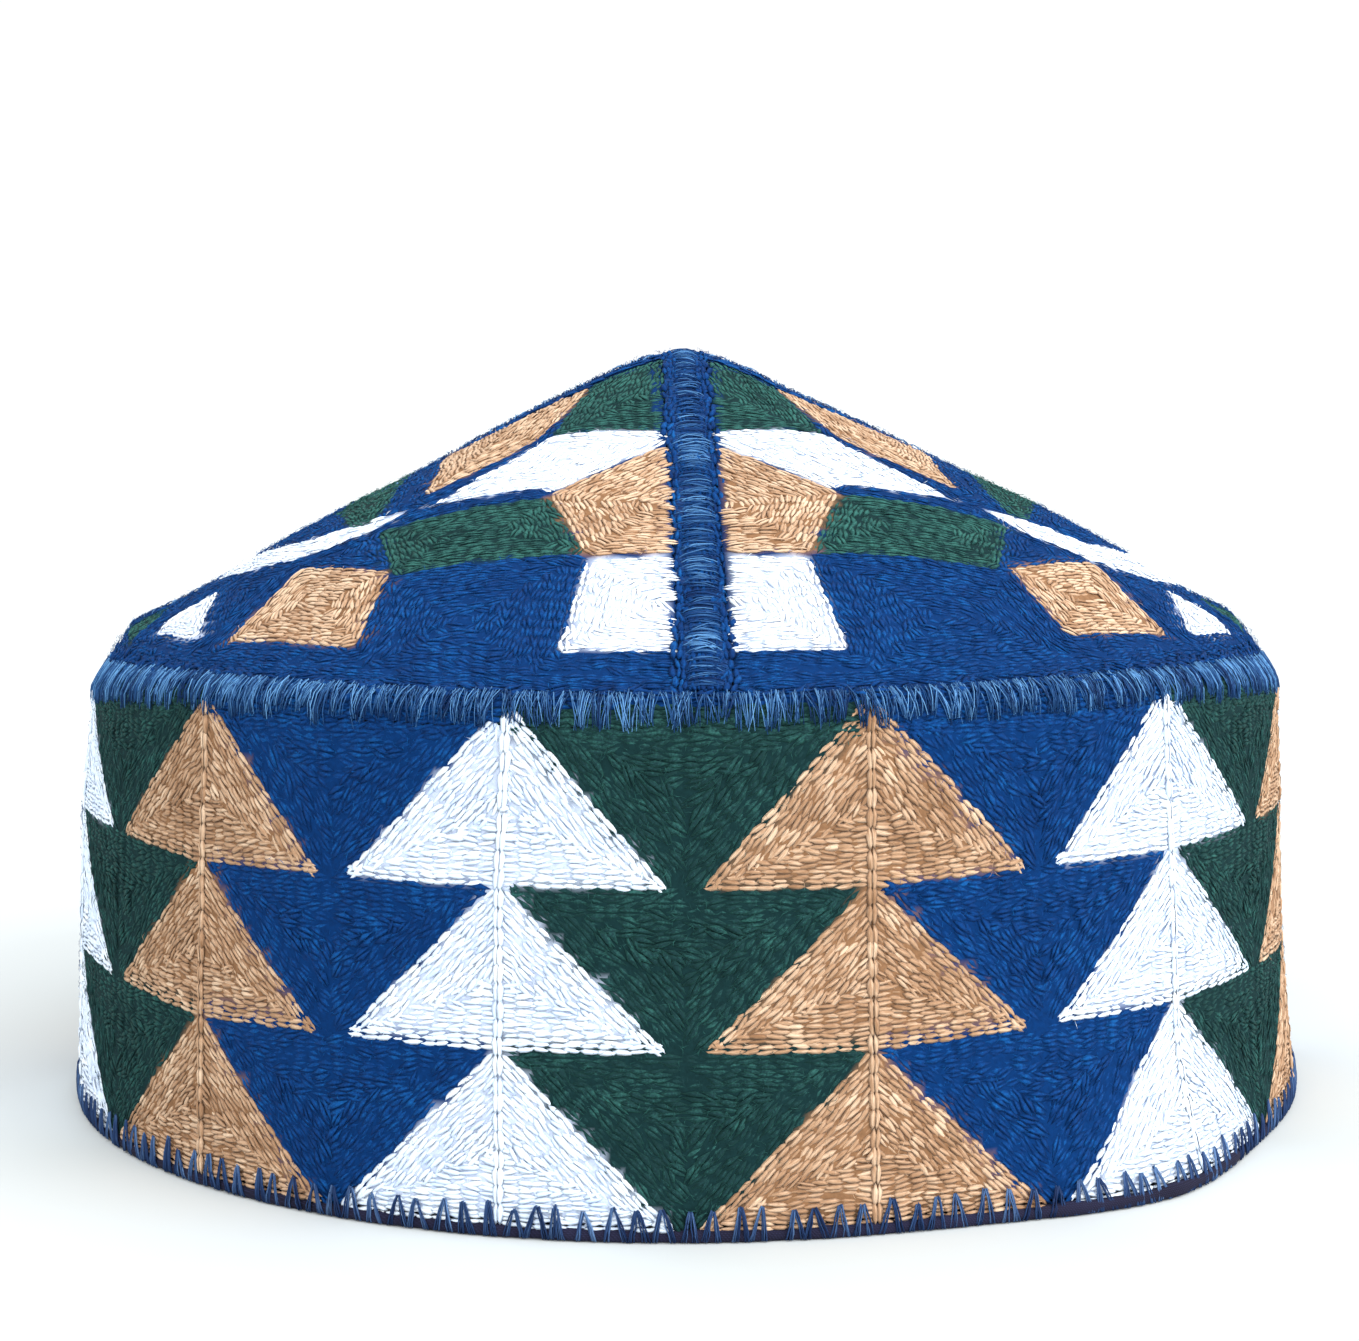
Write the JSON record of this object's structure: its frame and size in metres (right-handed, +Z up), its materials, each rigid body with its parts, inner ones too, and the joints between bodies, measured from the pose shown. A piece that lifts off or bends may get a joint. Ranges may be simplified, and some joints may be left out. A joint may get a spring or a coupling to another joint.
{
  "type": "kufi",
  "caption": "Round embroidered kufi cap with an upright side band, a low pointed crown of four panels, raised overcast seams and an overcast hem; covered in chain-stitched triangle patterns",
  "frame": {"origin": "centre of the hat on the surface it rests on, at the bottom of the hem", "axes": "+Z up along the hat's axis, -Y towards the front seam of the crown, +X to the wearer's left, which is the viewer's right from the front"},
  "size_m": [0.1854, 0.1855, 0.1101],
  "materials": {
    "yarn_blue": "matte wool yarn, chain-stitched",
    "yarn_green": "matte wool yarn, chain-stitched",
    "yarn_tan": "matte wool yarn, chain-stitched",
    "yarn_white": "matte wool yarn, chain-stitched",
    "seam_thread": "slightly shiny sewing thread, overcast",
    "hem_cloth": "dark folded cloth edge",
    "inner_cloth": "plain woven cotton, back of the embroidery"
  },
  "bodies": {
    "root": {"side_band": "yarn_blue", "hem_edge": "hem_cloth", "crown_band_seam": "seam_thread", "crown_panel_front_right": "yarn_blue", "crown_panel_back_right": "yarn_blue", "crown_panel_back_left": "yarn_blue", "crown_panel_front_left": "yarn_blue", "crown_seam_front_back": "seam_thread", "crown_seam_right": "seam_thread", "crown_seam_left": "seam_thread"}
  },
  "joints": []
}
